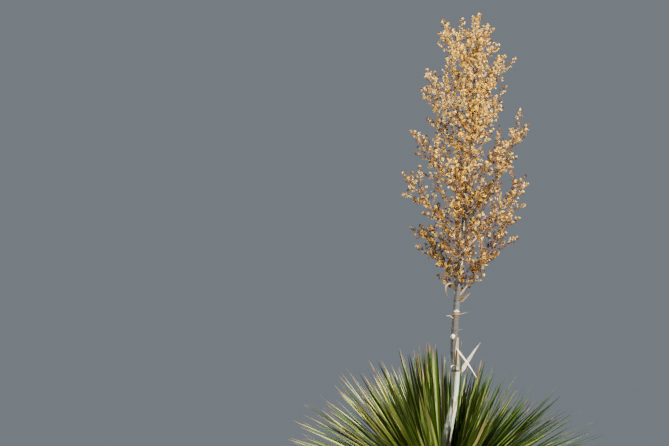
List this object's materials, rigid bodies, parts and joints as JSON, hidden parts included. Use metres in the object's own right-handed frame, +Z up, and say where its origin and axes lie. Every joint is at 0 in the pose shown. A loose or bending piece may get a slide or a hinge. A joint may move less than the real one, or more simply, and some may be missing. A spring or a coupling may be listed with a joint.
{
  "type": "nolina plant in dry fruit",
  "caption": "Desert nolina with a short woody trunk, a rosette of stiff sword leaves and a tall leaning stalk of dry golden fruit.",
  "frame": {"origin": "middle of the flat cut under the trunk, at ground level", "axes": "+Z up from the ground; +X is the side that the flower stalk leans to; the picture looks along +Y"},
  "size_m": [2.5549, 2.6212, 4.8474],
  "materials": {
    "bark": "rough fibrous bark with old leaf scars",
    "stalk": "dry ribbed stem, grey-buff with a waxy bloom",
    "leaf": "satin green blade with paler edges and dry tips",
    "bract": "papery, cream to straw, finely veined",
    "fruit": "papery winged capsules, gold to amber"
  },
  "bodies": {
    "root": {"trunk": "bark", "flower_stalk_01": "stalk", "flower_stalk_02": "stalk", "flower_stalk_03": "stalk", "leaf_whorl_01": "leaf", "leaf_whorl_02": "leaf", "leaf_whorl_03": "leaf", "leaf_whorl_04": "leaf", "leaf_whorl_05": "leaf", "leaf_whorl_06": "leaf", "leaf_whorl_07": "leaf", "leaf_whorl_08": "leaf", "leaf_whorl_09": "leaf", "leaf_whorl_10": "leaf", "leaf_whorl_11": "leaf", "bough_01": "stalk", "bough_02": "stalk", "bough_03": "stalk", "bough_04": "stalk", "bough_05": "stalk", "bough_06": "stalk", "bough_07": "stalk", "bough_08": "stalk", "bough_09": "stalk", "bough_10": "stalk", "bough_11": "stalk", "bough_12": "stalk", "bough_13": "stalk", "bough_14": "stalk", "bough_15": "stalk", "bough_16": "stalk", "bough_17": "stalk", "bough_18": "stalk", "bough_19": "stalk", "fruit_mass_01": "fruit", "fruit_mass_02": "fruit", "fruit_mass_03": "fruit", "fruit_mass_04": "fruit", "fruit_mass_05": "fruit", "fruit_mass_06": "fruit", "fruit_mass_07": "fruit", "fruit_mass_08": "fruit", "fruit_mass_09": "fruit", "fruit_mass_10": "fruit", "fruit_mass_11": "fruit", "fruit_mass_12": "fruit", "fruit_mass_13": "fruit", "fruit_mass_14": "fruit", "fruit_mass_15": "fruit", "fruit_mass_16": "fruit", "fruit_mass_17": "fruit", "fruit_mass_18": "fruit", "fruit_mass_19": "fruit", "fruit_mass_20": "fruit", "bract_01": "bract", "bract_02": "bract", "bract_03": "bract", "bract_04": "bract", "bract_05": "bract", "bract_06": "bract"}
  },
  "joints": []
}
